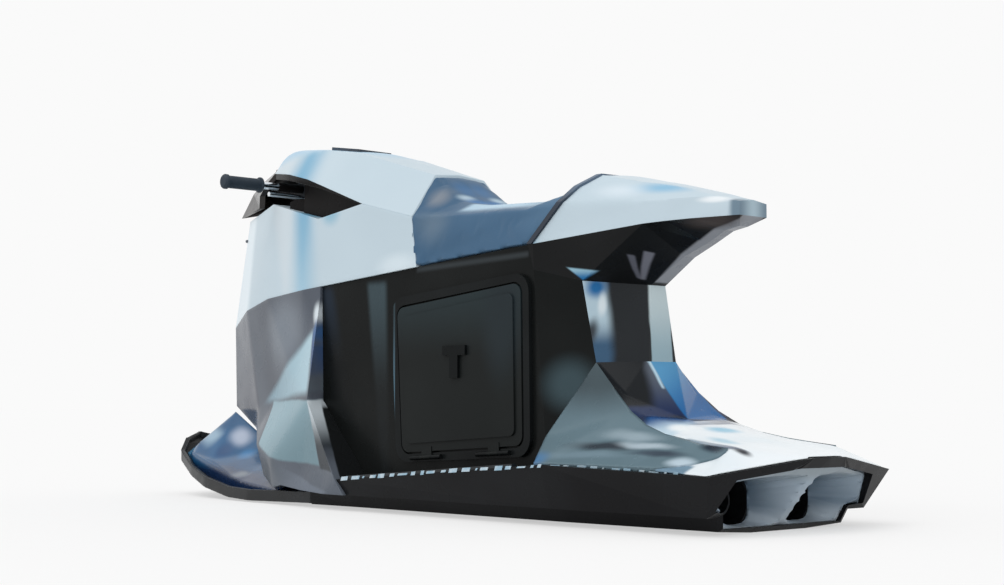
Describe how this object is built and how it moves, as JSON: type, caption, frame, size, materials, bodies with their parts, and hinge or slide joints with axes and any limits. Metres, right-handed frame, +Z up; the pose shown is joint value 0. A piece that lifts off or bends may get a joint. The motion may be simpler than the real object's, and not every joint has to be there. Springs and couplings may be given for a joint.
{
  "type": "straddle seat electric personal watercraft",
  "caption": "Faceted personal watercraft with a straddle seat on a tall trunk, a hooded handlebar, side hatches, a flat hull, a raised bow rim and jet outlets in the stern.",
  "frame": {"origin": "on the flat of the keel, under the middle of the overall length", "axes": "+X forward to the bow, +Y to port, +Z up"},
  "size_m": [2.54, 0.67, 1.07],
  "materials": {
    "hull_black": "gloss moulded hull skin",
    "rim_black": "gloss black rim with a bright top edge",
    "mirror_silver": "mirror-bright silver blue coating",
    "deck_silver": "mirror-bright silver coating",
    "deep_blue": "metallic blue coat",
    "trunk_black": "gloss black panel",
    "frame_black": "satin black frame",
    "hatch_black": "satin black panel",
    "latch_black": "matt black handle",
    "battery_grey": "plain case",
    "motor_grey": "plain case",
    "pump_metal": "cast and painted",
    "blade_steel": "machined steel",
    "grate_metal": "cast",
    "liner_pale": "satin pale blue grey",
    "cowl_pale": "satin pale silver blue",
    "tail_pale": "satin pale silver blue",
    "seat_slate": "satin slate blue upholstery",
    "band_dark": "gloss dark band",
    "under_black": "gloss black skin",
    "well_slate": "satin slate grey",
    "slot_black": "matt black lining",
    "visor_black": "smoked black screen",
    "display_black": "dark display glass",
    "strip_blue": "broken pale line on black",
    "bar_chrome": "polished tube",
    "column_metal": "anodised dark",
    "grip_rubber": "ribbed dark rubber",
    "knob_black": "matt"
  },
  "bodies": {
    "hull": {"hull_shell": "hull_black", "bow_rim_left": "rim_black", "bow_rim_right": "rim_black", "prow_cap": "deep_blue", "front_fairing": "mirror_silver", "trunk_shell": "trunk_black", "battery_pack": "battery_grey", "hatch_frame_left": "frame_black", "hatch_frame_right": "frame_black", "stern_liner": "liner_pale", "cowl_lower": "cowl_pale", "cowl_hood": "cowl_pale", "seat_cushion": "seat_slate", "seat_trim": "band_dark", "tail_cowl": "tail_pale", "tail_underside": "under_black", "rear_pillar": "mirror_silver", "aft_deck": "deck_silver", "footwell_left": "well_slate", "footwell_right": "well_slate", "slot_core": "slot_black", "visor": "visor_black", "dash_display": "display_black", "gunwale_strip_left": "strip_blue", "gunwale_strip_right": "strip_blue", "front_knob": "knob_black", "motor_left": "motor_grey", "motor_right": "motor_grey", "jet_pump_left": "pump_metal", "jet_pump_right": "pump_metal", "intake_grate_left": "grate_metal", "intake_grate_right": "grate_metal"},
    "steering": {"steering_column": "column_metal", "handlebar_tube": "bar_chrome", "bar_brace": "bar_chrome", "grip_left": "grip_rubber", "grip_right": "grip_rubber"},
    "left_nozzle": {"nozzle_left": "pump_metal"},
    "left_impeller": {"impeller_left": "blade_steel"},
    "left_hatch": {"hatch_left": "hatch_black", "latch_handle_left": "latch_black"},
    "right_nozzle": {"nozzle_right": "pump_metal"},
    "right_impeller": {"impeller_right": "blade_steel"},
    "right_hatch": {"hatch_right": "hatch_black", "latch_handle_right": "latch_black"}
  },
  "joints": [
    {"name": "steering_turn", "type": "hinge", "parent": "hull", "child": "steering", "pos_m": [0.66853, 0, 0.94503], "axis": [-0.1736, 0, 0.9848], "range_deg": [-25, 25]},
    {"name": "nozzle_left_turn", "type": "hinge", "parent": "hull", "child": "left_nozzle", "pos_m": [-0.985, 0.115, 0.068], "axis": [0, 0, 1], "range_deg": [-20, 20]},
    {"name": "impeller_left_spin", "type": "hinge", "parent": "hull", "child": "left_impeller", "pos_m": [-0.842, 0.115, 0.068], "axis": [1, 0, 0], "continuous": true},
    {"name": "hatch_left_hinge", "type": "hinge", "parent": "hull", "child": "left_hatch", "pos_m": [-0.259, 0.21, 0.1555], "axis": [-0.9983, 0, 0.0583], "range_deg": [0, 90]},
    {"name": "nozzle_right_turn", "type": "hinge", "parent": "hull", "child": "right_nozzle", "pos_m": [-0.985, -0.115, 0.068], "axis": [0, 0, 1], "range_deg": [-20, 20]},
    {"name": "impeller_right_spin", "type": "hinge", "parent": "hull", "child": "right_impeller", "pos_m": [-0.842, -0.115, 0.068], "axis": [1, 0, 0], "continuous": true},
    {"name": "hatch_right_hinge", "type": "hinge", "parent": "hull", "child": "right_hatch", "pos_m": [-0.259, -0.21, 0.1555], "axis": [0.9983, 0, -0.0583], "range_deg": [0, 90]}
  ],
  "couplings": [
    {"joint": "nozzle_left_turn", "follows": "steering_turn", "ratio": -0.8},
    {"joint": "nozzle_right_turn", "follows": "steering_turn", "ratio": -0.8}
  ]
}
